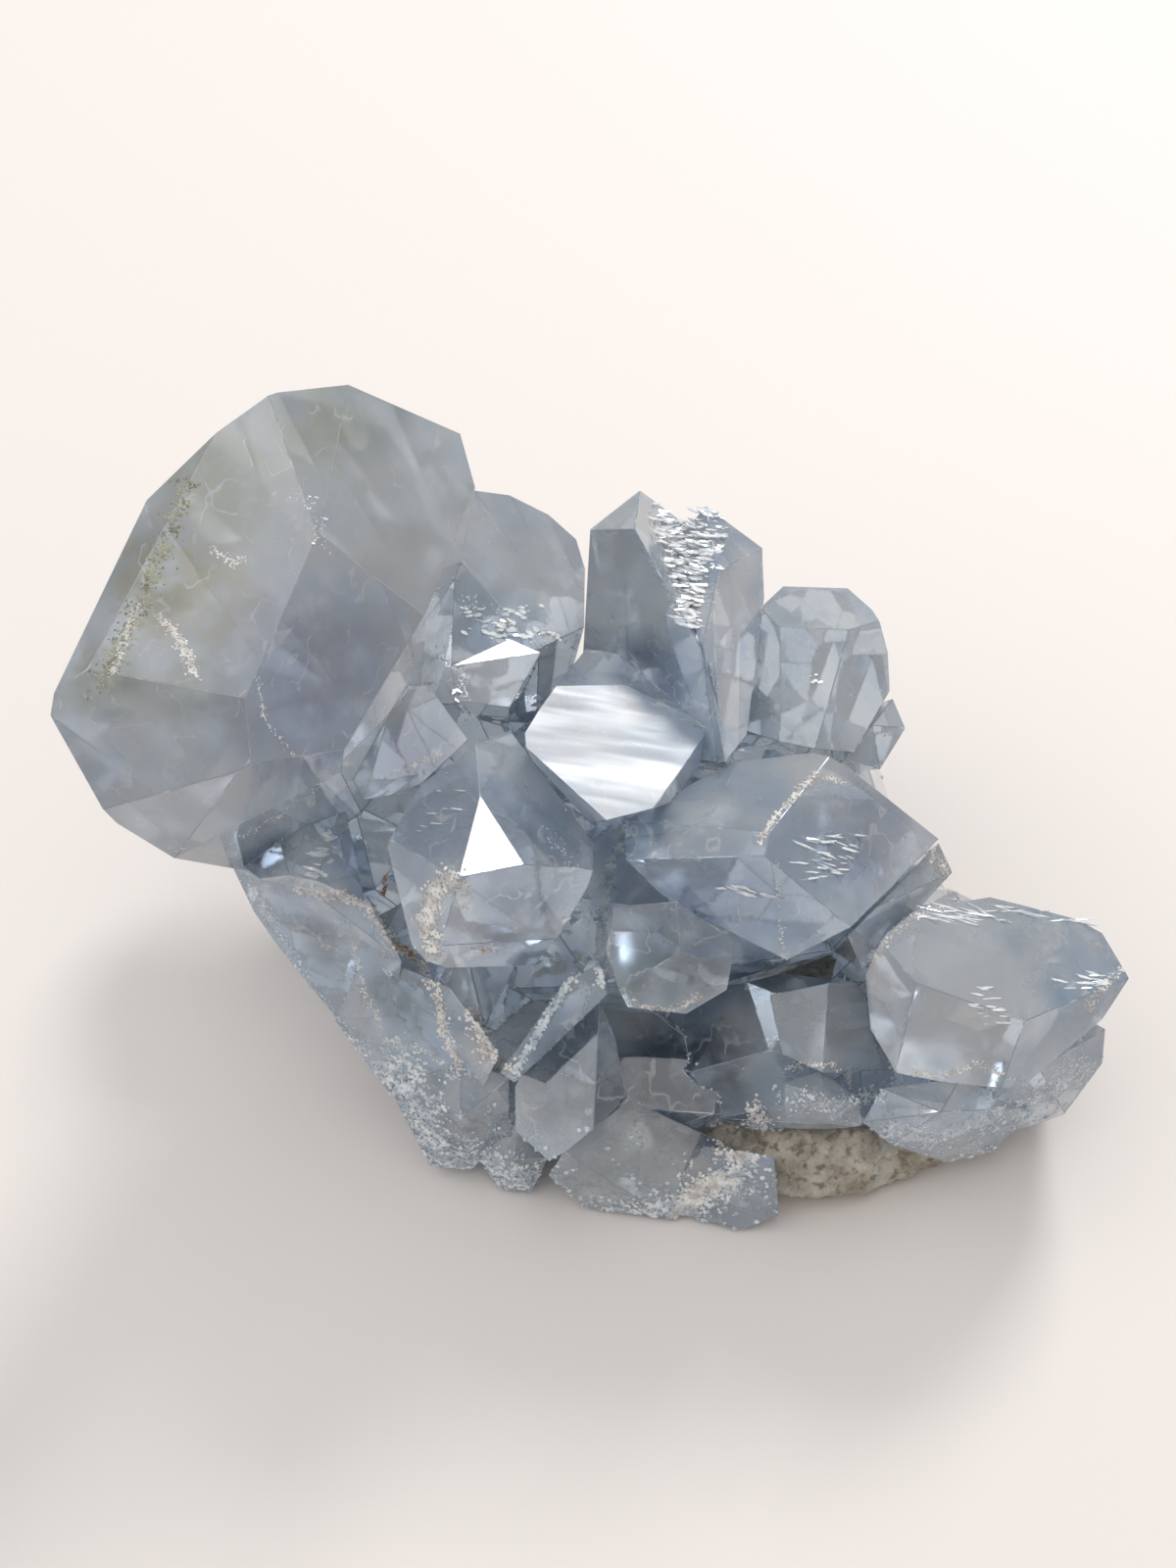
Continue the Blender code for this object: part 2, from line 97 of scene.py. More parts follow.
@dataclass(frozen=True)
class Eye:
    """The photograph's eye: what it aims at, how high and how far it is, and its lens, in mm and degrees."""

    aim: Place = (-2.1039, -2.3634, 34.0)
    elevation: float = 50.0
    distance: float = 320.0
    lens: float = 72.0
    film: float = 36.0

    def toward(self) -> Vector:
        """Return the direction from the aim to the eye."""
        lift = math.radians(self.elevation)
        return Vector((0, -math.cos(lift), math.sin(lift)))

    def place(self) -> Vector:
        """Return the eye's place in metres."""
        return (Vector(self.aim) + self.toward() * self.distance) * MM

    def ray(self, across: float, down: float) -> Vector:
        """Return the direction in which a photograph pixel looks.

        Args:
            across: Pixels from the photograph's left.
            down: Pixels from its top.

        Returns:
            The direction, of length one.
        """
        right = Vector((1, 0, 0))
        up = self.toward().cross(right)
        spot = Vector(self.aim) + right * ((across - PHOTO_MIDDLE[0]) / PHOTO_PIXELS_PER_MM)
        spot += up * ((PHOTO_MIDDLE[1] - down) / PHOTO_PIXELS_PER_MM)
        return (spot * MM - self.place()).normalized()

    def set_up(self) -> None:
        """Make the camera."""
        data = bpy.data.cameras.new("eye")
        data.lens = self.lens
        data.sensor_width = self.film
        data.clip_start = 0.01
        camera = link("eye", data)
        camera.location = self.place()
        camera.rotation_euler = (-self.toward()).to_track_quat("-Z", "Y").to_euler()
        bpy.context.scene.camera = camera


@dataclass(frozen=True)
class Softbox:
    """One soft area light. Its distance and size are in metres and its power is in watts."""

    name: str
    toward: Place
    distance: float
    size: float
    power: float
    colour: Colour = (1.0, 1.0, 1.0)

    def set_up(self, aim: Vector) -> None:
        """Hang the light so that it shines at aim.

        Args:
            aim: The place it shines at, in metres.
        """
        data = bpy.data.lights.new(self.name, "AREA")
        data.shape = "SQUARE"
        data.size = self.size
        data.energy = self.power
        data.color = self.colour
        lamp = link(self.name, data)
        direction = Vector(self.toward).normalized()
        lamp.location = aim + direction * self.distance
        lamp.rotation_euler = (-direction).to_track_quat("-Z", "Y").to_euler()


def mottle_group() -> bpy.types.NodeTree:
    """Return the shared mask of soft natural blotches, which every finish of the cluster uses.

    Returns:
        The node group. Its Scale is in blotches per metre along each axis.
    """
    name = "mottle"
    if name in bpy.data.node_groups:
        return bpy.data.node_groups[name]
    group = bpy.data.node_groups.new(name, "ShaderNodeTree")
    kinds = {"NodeSocketVector": ("Coordinates", "Scale", "Shift"),
             "NodeSocketFloat": ("Detail", "Roughness", "From Min", "From Max", "To Min", "To Max")}
    for kind, titles in kinds.items():
        for title in titles:
            group.interface.new_socket(title, in_out="INPUT", socket_type=kind)
    group.interface.new_socket("Mask", in_out="OUTPUT", socket_type="NodeSocketFloat")
    given, result = group.nodes.new("NodeGroupInput"), group.nodes.new("NodeGroupOutput")
    mapping = group.nodes.new("ShaderNodeMapping")
    cloud = group.nodes.new("ShaderNodeTexNoise")
    cloud.inputs["Scale"].default_value = 1.0
    span = group.nodes.new("ShaderNodeMapRange")
    span.interpolation_type = "SMOOTHSTEP"
    for source, target in (("Coordinates", mapping.inputs["Vector"]), ("Scale", mapping.inputs["Scale"]),
                           ("Shift", mapping.inputs["Location"]), ("Detail", cloud.inputs["Detail"]),
                           ("Roughness", cloud.inputs["Roughness"])):
        group.links.new(given.outputs[source], target)
    for source in ("From Min", "From Max", "To Min", "To Max"):
        group.links.new(given.outputs[source], span.inputs[source])
    group.links.new(mapping.outputs["Vector"], cloud.inputs["Vector"])
    group.links.new(cloud.outputs["Fac"], span.inputs["Value"])
    group.links.new(span.outputs["Result"], result.inputs["Mask"])
    return group


class Nodes:
    """A material's node tree, with short ways to add and join nodes."""

    def __init__(self, name: str) -> None:
        """Start a material with a Principled BSDF.

        Args:
            name: The material's name.
        """
        self.material = bpy.data.materials.new(name)
        self.material.use_nodes = True
        self.tree = self.material.node_tree
        self.shader = next(n for n in self.tree.nodes if n.type == "BSDF_PRINCIPLED")
        self.output = next(n for n in self.tree.nodes if n.type == "OUTPUT_MATERIAL")
        self.coords = self.tree.nodes.new("ShaderNodeTexCoord").outputs["Object"]

    def join(self, value: Feed, socket: Socket) -> None:
        """Feed a socket from another socket, or set it to a plain value.

        Args:
            value: The socket, number or colour that it gets.
            socket: The socket that gets it.
        """
        if isinstance(value, Socket):
            self.tree.links.new(value, socket)
        elif isinstance(value, tuple) and socket.type == "RGBA":
            socket.default_value = (*value, 1.0)
        else:
            socket.default_value = value

    def noise(self, size_mm: float, detail: float = 2.0, rough: float = 0.5, stretch: Place = (1, 1, 1),
              shift: Place = (0, 0, 0)) -> Socket:
        """Return plain noise whose blotches measure about size_mm.

        Args:
            size_mm: The blotches' size in millimetres.
            detail: How many finer layers it has.
            rough: How strong the finer layers are.
            stretch: How much finer it is along each axis.
            shift: What moves the pattern.

        Returns:
            The noise, about 0.5 in the mean.
        """
        mapping = self.tree.nodes.new("ShaderNodeMapping")
        mapping.inputs["Location"].default_value = shift
        mapping.inputs["Scale"].default_value = [s / (size_mm * MM) for s in stretch]
        self.join(self.coords, mapping.inputs["Vector"])
        node = self.tree.nodes.new("ShaderNodeTexNoise")
        node.inputs["Scale"].default_value = 1.0
        node.inputs["Detail"].default_value = detail
        node.inputs["Roughness"].default_value = rough
        self.join(mapping.outputs["Vector"], node.inputs["Vector"])
        return node.outputs["Fac"]

    def mottle(self, size_mm: float, low: float = 0.35, high: float = 0.65,
               to: tuple[float, float] = (0.0, 1.0), detail: float = 3.0, rough: float = 0.55,
               stretch: Place = (1, 1, 1), shift: Place = (0, 0, 0)) -> Socket:
        """Return a mask of soft blotches about size_mm across.

        Args:
            size_mm: The blotches' size in millimetres.
            low: The noise at which the mask starts to rise.
            high: The noise at which it's whole.
            to: The mask's lowest and highest value.
            detail: How many finer layers it has.
            rough: How strong the finer layers are.
            stretch: How much finer it is along each axis.
            shift: What moves the pattern.

        Returns:
            The mask.
        """
        node = self.tree.nodes.new("ShaderNodeGroup")
        node.node_tree = mottle_group()
        self.join(self.coords, node.inputs["Coordinates"])
        node.inputs["Scale"].default_value = [s / (size_mm * MM) for s in stretch]
        node.inputs["Shift"].default_value = shift
        for name, number in (("Detail", detail), ("Roughness", rough), ("From Min", low), ("From Max", high),
                             ("To Min", to[0]), ("To Max", to[1])):
            node.inputs[name].default_value = number
        return node.outputs["Mask"]

    def attribute(self, name: str) -> bpy.types.Node:
        """Return a node that reads one of the piece's own attributes.

        Args:
            name: The attribute's name.

        Returns:
            The node.
        """
        node = self.tree.nodes.new("ShaderNodeAttribute")
        node.attribute_name = name
        return node

    def ramp(self, value: Feed, low: float, high: float, to_low: float = 0.0, to_high: float = 1.0) -> Socket:
        """Return a value stretched smoothly from one range onto another.

        Args:
            value: The value.
            low: Where the first range starts.
            high: Where it ends.
            to_low: What low becomes.
            to_high: What high becomes.

        Returns:
            The stretched value.
        """
        node = self.tree.nodes.new("ShaderNodeMapRange")
        node.interpolation_type = "SMOOTHSTEP"
        for name, number in (("Value", value), ("From Min", low), ("From Max", high), ("To Min", to_low),
                             ("To Max", to_high)):
            self.join(number, node.inputs[name])
        return node.outputs["Result"]

    def blend(self, fraction: Feed, first: Feed, second: Feed) -> Socket:
        """Return one colour turned into another.

        Args:
            fraction: How far it's turned, 0 to 1.
            first: The colour at 0.
            second: The colour at 1.

        Returns:
            The mixed colour.
        """
        node = self.tree.nodes.new("ShaderNodeMix")
        node.data_type = "RGBA"
        self.join(fraction, node.inputs[0])
        self.join(first, node.inputs[6])
        self.join(second, node.inputs[7])
        return node.outputs[2]

    def maths(self, operation: str, first: Feed, second: Feed = 0.0) -> Socket:
        """Return the result of a sum on one or two numbers.

        Args:
            operation: The sum, such as MULTIPLY.
            first: The first number.
            second: The second number, where the sum has one.

        Returns:
            The result.
        """
        node = self.tree.nodes.new("ShaderNodeMath")
        node.operation = operation
        self.join(first, node.inputs[0])
        self.join(second, node.inputs[1])
        return node.outputs[0]

    def blob(self, centre: Place, reach: float, soft: float = 0.6) -> Socket:
        """Return a mask that is 1 at a place and fades out round it.

        Args:
            centre: The place in millimetres.
            reach: Where the mask is 0, in millimetres.
            soft: The share of the reach over which it fades.

        Returns:
            The mask.
        """
        node = self.tree.nodes.new("ShaderNodeVectorMath")
        node.operation = "DISTANCE"
        self.join(self.coords, node.inputs[0])
        node.inputs[1].default_value = [c * MM for c in centre]
        return self.ramp(node.outputs["Value"], reach * MM, reach * (1 - soft) * MM)

    def bump(self, height: Socket, depth_mm: float, strength: float) -> None:
        """Feed the shader a relief.

        Args:
            height: The relief, 0 to 1.
            depth_mm: Its depth in millimetres.
            strength: How much of it shows.
        """
        node = self.tree.nodes.new("ShaderNodeBump")
        node.inputs["Strength"].default_value = strength
        node.inputs["Distance"].default_value = depth_mm * MM
        self.join(height, node.inputs["Height"])
        self.join(node.outputs["Normal"], self.shader.inputs["Normal"])

    def set(self, **values: Feed) -> None:
        """Set or feed shader sockets, named with _ for a space."""
        for name, value in values.items():
            self.join(value, self.shader.inputs[name.replace("_", " ")])


@dataclass(frozen=True)
class Zone:
    """A soft patch of colour in the crystals, where a photograph pixel looks. Reach and depth are in mm."""

    name: str
    across: float
    down: float
    reach: float
    colour: Colour
    share: float = 0.8
    depth: float = 0.0


ZONES = (
    Zone("hazy big crystal", 230, 600, 34, srgb(242, 238, 232), 0.85, 8),
    Zone("hazy big crown", 380, 470, 20, srgb(226, 228, 224), 0.6, 5),
    Zone("hazy big foot", 160, 800, 16, srgb(236, 236, 238), 0.6, 4),
    Zone("olive stain left", 185, 605, 7, srgb(206, 198, 168)),
    Zone("olive stain middle", 232, 618, 6, srgb(226, 216, 190)),
    Zone("olive stain upper", 222, 500, 8, srgb(196, 194, 168)),
    Zone("olive stain crown", 330, 430, 7, srgb(198, 196, 172), 0.7),
    Zone("olive stain tip", 380, 410, 7, srgb(186, 190, 172), 0.7),
    Zone("olive stain low", 105, 695, 5, srgb(176, 176, 150)),
    Zone("olive stain lower", 205, 702, 6, srgb(198, 196, 176), 0.7),
    Zone("lavender face", 330, 690, 13, srgb(172, 181, 204), 0.85),
    Zone("lavender foot", 290, 740, 9, srgb(182, 182, 200), 0.6),
    Zone("pale rear", 510, 540, 13, srgb(250, 250, 250), 0.8, 3),
    Zone("pale twin", 640, 620, 10, srgb(246, 248, 248), 0.9, 2),
    Zone("pale twin top", 640, 530, 7, srgb(236, 240, 240), 0.8, 2),
    # painted shade: the steep band above the centre crystal's top face, darkened as it faces away from the
    # light
    Zone("painted shade on steep shelf", 660, 690, 6, srgb(122, 142, 168), 0.9),
    Zone("lavender pyramid", 425, 765, 6, srgb(176, 176, 192), 0.7),
    Zone("lavender front", 450, 830, 9, srgb(170, 180, 200), 0.7),
    Zone("blue front", 540, 880, 9, srgb(146, 160, 180)),
    Zone("lavender middle", 720, 920, 11, srgb(162, 173, 196)),
    Zone("lavender shoulder", 880, 850, 8, srgb(166, 170, 192), 0.7),
    Zone("green bowl", 680, 1000, 8, srgb(112, 130, 136), 0.9),
    # painted shade: dark colours in the recesses and the cave between the crystals, where shade falls
    Zone("painted shade in left recess", 590, 1090, 10, srgb(98, 110, 126), 0.9),
    Zone("painted shade in right recess", 700, 1100, 10, srgb(60, 72, 92), 0.95),
    Zone("painted shade in cave", 765, 1000, 6, srgb(108, 124, 142), 0.9),
    # painted shade: the facets under the big crystal's overhang, darkened where its shadow falls
    Zone("painted shade under big crystal", 260, 880, 6, srgb(122, 134, 152), 0.85),
    Zone("front dark", 530, 942, 6, srgb(128, 142, 166), 0.85),
    Zone("olive edge", 150, 580, 7, srgb(182, 174, 136)),
    Zone("blue valley", 640, 850, 6, srgb(136, 156, 178)),
    Zone("blue notch", 570, 700, 5, srgb(128, 146, 168), 0.9),
    Zone("dark flank", 325, 955, 4, srgb(118, 126, 140), 0.85),
    Zone("deep flank", 405, 1020, 5, srgb(122, 142, 156), 0.85),
    Zone("teal pyramid", 640, 1185, 7, srgb(196, 208, 208), 0.7),
    Zone("pale tip", 990, 980, 15, srgb(244, 246, 248), 0.8, 2),
    Zone("blue tip", 1100, 1030, 6, srgb(150, 184, 212), 0.85),
    Zone("blue tip foot", 1040, 1090, 5, srgb(160, 188, 212)),
    Zone("pale shoulder", 850, 680, 14, srgb(248, 250, 250), 0.85, 2),
    Zone("pale lower right", 830, 1050, 8, srgb(228, 232, 236), 0.8, 2),
)


@dataclass(frozen=True)
class Patch:
    """A round mark on the crystals, where a photograph pixel looks. Reach and depth are in mm."""

    across: float
    down: float
    reach: float
    share: float = 1.0
    depth: float = 0.0


CRUSTY = (
    Patch(330, 930, 6, 0.7), Patch(415, 1100, 9, 0.9), Patch(455, 1150, 8), Patch(445, 1175, 7, 0.8),
    Patch(520, 1190, 7, 0.8), Patch(560, 1195, 6, 0.7), Patch(720, 1230, 7, 0.9), Patch(755, 1165, 6, 0.9),
    Patch(850, 1120, 7, 0.5), Patch(930, 1180, 6, 0.6), Patch(1050, 1120, 6, 0.5), Patch(450, 1020, 5, 0.5),
    Patch(500, 1060, 5, 0.7), Patch(300, 905, 4, 0.6), Patch(950, 890, 4, 0.6),
)
PALE = (
    Patch(398, 715, 3.5), Patch(372, 752, 3.5), Patch(340, 788, 3.5), Patch(300, 818, 3.5),
    Patch(255, 845, 3.5), Patch(415, 465, 3.2, 0.8), Patch(430, 515, 3.2, 0.8), Patch(442, 570, 3.2, 0.8),
    Patch(300, 515, 4, 0.6), Patch(350, 1025, 4.5, 0.7), Patch(605, 900, 2.2, 0.8), Patch(612, 950, 2.2, 0.8),
    Patch(618, 1000, 2.2, 0.6), Patch(955, 965, 4, 0.8), Patch(1010, 1025, 4, 0.8), Patch(1100, 1000, 3, 0.8),
    Patch(870, 640, 4, 0.7), Patch(800, 720, 4, 0.7), Patch(700, 950, 2, 0.6), Patch(745, 950, 2, 0.6),
    Patch(470, 1010, 3, 0.6),
)
SATIN_FACE = Patch(635, 765, 11.5)


def glow(distance: float, reach: float, soft: float) -> float:
    """Return a round mark's strength at a distance from its middle.

    Args:
        distance: How far from the middle.
        reach: Where the mark ends.
        soft: The share of the reach over which it fades.

    Returns:
        The strength, 1 near the middle and 0 from the reach on.
    """
    share = min(max((reach - distance) / (reach * soft), 0.0), 1.0)
    return share * share * (3 - 2 * share)


@dataclass
class StainsAndPaintedShade:
    """The colours and marks painted on the crystals, worked out at every corner of their surface: stains and
    tints, with painted shade in the recesses, the cave, under the big crystal and on the steep shelf.
    """

    eye: Eye
    skin: BVHTree
    zone_soft: float = 0.6
    mark_softs: tuple[float, float, float] = (0.9, 0.7, 0.15)

    def seated(self, marks: tuple[Zone | Patch, ...]) -> list[tuple[Vector, Zone | Patch]]:
        """Set marks on the crystals, where their photograph pixels look.

        Args:
            marks: The marks.

        Returns:
            Each mark that meets the crystals, after its place in millimetres.
        """
        found = []
        for mark in marks:
            direction = self.eye.ray(mark.across, mark.down)
            place = self.skin.ray_cast(self.eye.place(), direction)[0]
            if place is None:
                LOG.warning("%s is beside the crystals", mark)
            else:
                found.append((place / MM + direction * mark.depth, mark))
        return found

    def paint(self, piece: bpy.types.Object) -> None:
        """Give the piece two attributes: zones, a colour and its share, and marks, pale, crusty and satin.

        Args:
            piece: The crystals, finely divided.
        """
        zones = self.seated(ZONES)
        marks = [self.seated(patches) for patches in (PALE, CRUSTY, (SATIN_FACE,))]
        tints, strengths = [], []
        for vertex in piece.data.vertices:
            spot = vertex.co / MM
            colour, whole = Vector((0, 0, 0)), 0.0
            for seat, zone in zones:
                share = glow((spot - seat).length, zone.reach, self.zone_soft) * zone.share
                if share > 0:
                    colour = colour * (1 - share) + Vector(zone.colour) * share
                    whole = whole * (1 - share) + share
            tints.extend((*(colour / whole if whole else colour), whole))
            for kind, soft in zip(marks, self.mark_softs):
                strengths.append(max((glow((spot - seat).length, patch.reach, soft) * patch.share
                                      for seat, patch in kind), default=0.0))
            strengths.append(1.0)
        for name, values in (("zones", tints), ("marks", strengths)):
            attribute = piece.data.attributes.new(name, "FLOAT_COLOR", "POINT")
            attribute.data.foreach_set("color", values)


@dataclass(frozen=True)
class CelestiteFinish:
    """The milky clear crystal, which reads its stains and painted shade from the piece's own attributes.
    Sizes are in mm.
    """

    blue: Colour = srgb(196, 214, 234)
    milk: Colour = srgb(248, 250, 252)
    white: Colour = srgb(252, 252, 253)
    crust_grey: Colour = srgb(206, 216, 222)
    crust_white: Colour = srgb(252, 250, 247)
    cloud_size: float = 10.0
    fleck_size: float = 3.5
    veil_size: float = 8.0
    veil_width: float = 0.014
    crust_size: float = 1.4
    crust_share: float = 0.85
    foot_top: float = 13.0
    foot_full: float = 2.0
    foot_share: float = 0.8
    roughness: float = 0.07
    satin_roughness: tuple[float, float] = (0.17, 0.36)
    crust_roughness: float = 0.4
    coat_roughness: float = 0.03
    swell_size: float = 6.0
    swell_depth: float = 0.12
    index: float = 1.62
    transmission: float = 0.7
    absorption: Colour = (0.44, 0.62, 0.80)
    density: float = 10.0

    def veils(self, n: Nodes, fleck: Socket) -> Socket:
        """Return the mask of thin broken veils.

        Args:
            n: The material's nodes.
            fleck: The fine noise that breaks them up.

        Returns:
            The mask.
        """
        cloud = n.noise(self.veil_size, 3.0, 0.6, stretch=(1.0, 0.6, 1.3))
        line = n.maths("ABSOLUTE", n.maths("SUBTRACT", cloud, 0.5))
        return n.maths("MULTIPLY", n.ramp(line, self.veil_width, 0.0), n.ramp(fleck, 0.48, 0.56, 0.0, 0.7))

    def crusty(self, n: Nodes, fleck: Socket, mark: Socket) -> Socket:
        """Return the mask of dull crust, on its patches and round the foot.

        Args:
            n: The material's nodes.
            fleck: The fine noise that breaks it up.
            mark: The patches.

        Returns:
            The mask.
        """
        place = n.tree.nodes.new("ShaderNodeSeparateXYZ")
        n.join(n.coords, place.inputs[0])
        foot = n.ramp(place.outputs["Z"], self.foot_top * MM, self.foot_full * MM, 0.0, self.foot_share)
        return n.maths("MULTIPLY", n.maths("MAXIMUM", mark, foot), n.ramp(fleck, 0.6, 0.4, 0.1, 1.0))

    def depth(self, n: Nodes) -> None:
        """Give the material its clear, faintly blue depth.

        Args:
            n: The material's nodes.
        """
        n.set(IOR=self.index, Coat_IOR=self.index, Coat_Roughness=self.coat_roughness)
        n.set(Transmission_Weight=self.transmission)
        volume = n.tree.nodes.new("ShaderNodeVolumeAbsorption")
        volume.inputs["Color"].default_value = (*self.absorption, 1)
        volume.inputs["Density"].default_value = self.density
        n.join(volume.outputs["Volume"], n.output.inputs["Volume"])

    def material(self) -> bpy.types.Material:
        """Return the material.

        Returns:
            The milky clear crystal.
        """
        n = Nodes("celestite_clear")
        zones, marks = n.attribute("zones"), n.attribute("marks")
        split = n.tree.nodes.new("ShaderNodeSeparateColor")
        n.join(marks.outputs["Color"], split.inputs[0])
        pale, crusty, satin = split.outputs
        tone = n.blend(n.mottle(self.cloud_size, detail=2.0), self.blue, self.milk)
        fleck = n.noise(self.fleck_size, 3.0, 0.65, shift=(3, 1, 7))
        ragged = n.ramp(fleck, 0.3, 0.6, 0.45, 1.0)
        # the zones blend in stains and tints, and painted shade in the recesses, the cave, under the big
        # crystal and on the steep shelf
        tone = n.blend(n.maths("MULTIPLY", ragged, zones.outputs["Alpha"]), tone, zones.outputs["Color"])
        pale = n.maths("MULTIPLY", pale, n.ramp(fleck, 0.35, 0.6, 0.2, 0.85))
        tone = n.blend(n.maths("MAXIMUM", self.veils(n, fleck), pale), tone, self.white)
        crusty = self.crusty(n, fleck, crusty)
        crust_tone = n.blend(n.mottle(self.crust_size, detail=1.0), self.crust_grey, self.crust_white)
        tone = n.blend(n.maths("MULTIPLY", crusty, self.crust_share), tone, crust_tone)
        brushed = n.mottle(3.0, 0.3, 0.7, self.satin_roughness, 2.0, 0.6, (0.15, 1.2, 0.3))
        dull = n.maths("MULTIPLY", satin, brushed)
        dull = n.maths("ADD", dull, n.maths("MULTIPLY", crusty, self.crust_roughness))
        n.set(Base_Color=tone, Roughness=n.maths("ADD", dull, self.roughness))
        n.set(Coat_Weight=n.ramp(n.maths("MAXIMUM", satin, crusty), 0.0, 0.9, 1.0, 0.0))
        n.bump(n.noise(self.swell_size, 2.0, 0.55), self.swell_depth, 0.5)
        self.depth(n)
        return n.material


@dataclass(frozen=True)
class EdgeFinish:
    """The pale chipped edges of the crystals, stained on the big crystal. Sizes are in mm."""

    dark: Colour = srgb(128, 140, 154)
    light: Colour = srgb(216, 220, 224)
    stained: Colour = srgb(168, 168, 166)
    stain_place: Place = (-34, 8, 48)
    stain_reach: float = 40.0
    chip_size: float = 0.6
    chip_depth: float = 0.15

    def material(self) -> bpy.types.Material:
        """Return the material.

        Returns:
            The pale chipped edge.
        """
        n = Nodes("celestite_edge")
        tone = n.blend(n.mottle(3.0, 0.52, 0.68), self.dark, self.light)
        tone = n.blend(n.blob(self.stain_place, self.stain_reach), tone, self.stained)
        n.set(Base_Color=tone, Roughness=n.mottle(0.8, to=(0.12, 0.4)), Coat_Weight=0.5)
        n.bump(n.noise(self.chip_size, 3.0, 0.6), self.chip_depth, 0.6)
        return n.material


class Crust(Enum):
    """What the little grains are made of, as (dark colour, light colour, roughness)."""

    WHITE = (srgb(196, 190, 186), srgb(240, 236, 230), 0.4)
    PALE = (srgb(168, 180, 190), srgb(226, 230, 232), 0.3)
    SPARK = (srgb(210, 216, 222), srgb(250, 250, 250), 0.08)
    RUST = (srgb(166, 118, 74), srgb(206, 164, 116), 0.6)
    OLIVE = (srgb(120, 118, 92), srgb(176, 172, 146), 0.5)

    def finish(self) -> bpy.types.Material:
        """Return this crust's material.

        Returns:
            The grains' material.
        """
        dark, light, roughness = self.value
        n = Nodes(f"crust_{self.name.lower()}")
        tone = n.blend(n.mottle(1.2, detail=2.0), dark, light)
        n.set(Base_Color=tone, Roughness=roughness, Coat_Weight=0.3)
        return n.material


@dataclass(frozen=True)
class RockFinish:
    """The sandy wall rock: cemented grit with darker pits and a few pale grains. Sizes are in mm."""

    shade: Colour = srgb(158, 146, 130)
    sand: Colour = srgb(214, 206, 192)
    pit: Colour = srgb(120, 106, 90)
    grain: Colour = srgb(188, 196, 200)
    cloud_size: float = 3.0
    pit_size: float = 0.9
    grain_size: float = 1.3
    grit_size: float = 0.7
    grit_depth: float = 0.35

    def material(self) -> bpy.types.Material:
        """Return the material.

        Returns:
            The sandy rock.
        """
        n = Nodes("sandy_rock")
        tone = n.blend(n.mottle(self.cloud_size, 0.3, 0.7, detail=5.0, rough=0.7), self.shade, self.sand)
        tone = n.blend(n.mottle(self.pit_size, 0.5, 0.68, (0.0, 0.8), shift=(2, 5, 1)), tone, self.pit)
        tone = n.blend(n.mottle(self.grain_size, 0.6, 0.7, (0.0, 0.7), shift=(7, 3, 4)), tone, self.grain)
        n.set(Base_Color=tone, Roughness=n.mottle(0.8, to=(0.7, 0.95)))
        n.bump(n.noise(self.grit_size, 5.0, 0.75), self.grit_depth, 0.9)
        return n.material


@dataclass(frozen=True)
class FloorFinish:
    """The pale floor."""

    colour: Colour = (0.86, 0.80, 0.76)
    roughness: float = 0.6

    def material(self) -> bpy.types.Material:
        """Return the material.

        Returns:
            The pale floor.
        """
        n = Nodes("pale_floor")
        n.set(Base_Color=self.colour, Roughness=self.roughness)
        return n.material


def only(piece: bpy.types.Object) -> None:
    """Select and activate one piece alone.

    Args:
        piece: The piece.
    """
    bpy.ops.object.select_all(action="DESELECT")
    piece.select_set(True)
    bpy.context.view_layer.objects.active = piece


def copy_of(node: str, name: str) -> bpy.types.Object:
    """Return a merged copy of a CAD node's mesh with flat facets.

    Args:
        node: The CAD node.
        name: The new piece's name.

    Returns:
        The new piece.
    """
    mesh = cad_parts[node].data.copy()
    mesh.name = name
    mesh.materials.clear()
    piece = link(name, mesh)
    only(piece)
    bpy.ops.object.mode_set(mode="EDIT")
    bpy.ops.mesh.select_all(action="SELECT")
    bpy.ops.mesh.remove_doubles(threshold=1e-6)
    bpy.ops.mesh.dissolve_limited(angle_limit=math.radians(1.0))
    bpy.ops.object.mode_set(mode="OBJECT")
    if mesh.has_custom_normals:
        bpy.ops.mesh.customdata_custom_splitnormals_clear()
    return piece


def apply_modifier(piece: bpy.types.Object, kind: str, **settings: object) -> None:
    """Add a modifier and apply it.

    Args:
        piece: The piece.
        kind: The kind of modifier.
        settings: What the modifier is set to.
    """
    only(piece)
    modifier = piece.modifiers.new(kind.lower(), kind)
    for name, value in settings.items():
        setattr(modifier, name, value)
    bpy.ops.object.modifier_apply(modifier=modifier.name)


def grain_forms(count: int, chance: random.Random) -> list[Form]:
    """Return a few uneven little crystals of size one, each as its corners and faces.

    Args:
        count: How many forms to make.
        chance: The source of their unevenness.

    Returns:
        The forms.
    """
    forms = []
    for _ in range(count):
        shape = bmesh.new()
        bmesh.ops.create_icosphere(shape, subdivisions=1, radius=0.5)
        for vertex in shape.verts:
            vertex.co *= chance.uniform(0.7, 1.25)
        forms.append(([v.co.copy() for v in shape.verts], [[v.index for v in f.verts] for f in shape.faces]))
        shape.free()
    return forms


def plate_form(sides: int) -> Form:
    """Return a flat form of size one.

    Args:
        sides: How many sides it has.

    Returns:
        Its corners and faces.
    """
    bpy.ops.object.select_all(action="DESELECT")
    bpy.ops.mesh.primitive_cylinder_add(vertices=sides, radius=0.5, depth=1.0, location=(0, 0, 0))
    model = bpy.context.active_object
    form = ([v.co.copy() for v in model.data.vertices], [list(p.vertices) for p in model.data.polygons])
    bpy.data.objects.remove(model, do_unlink=True)
    return form


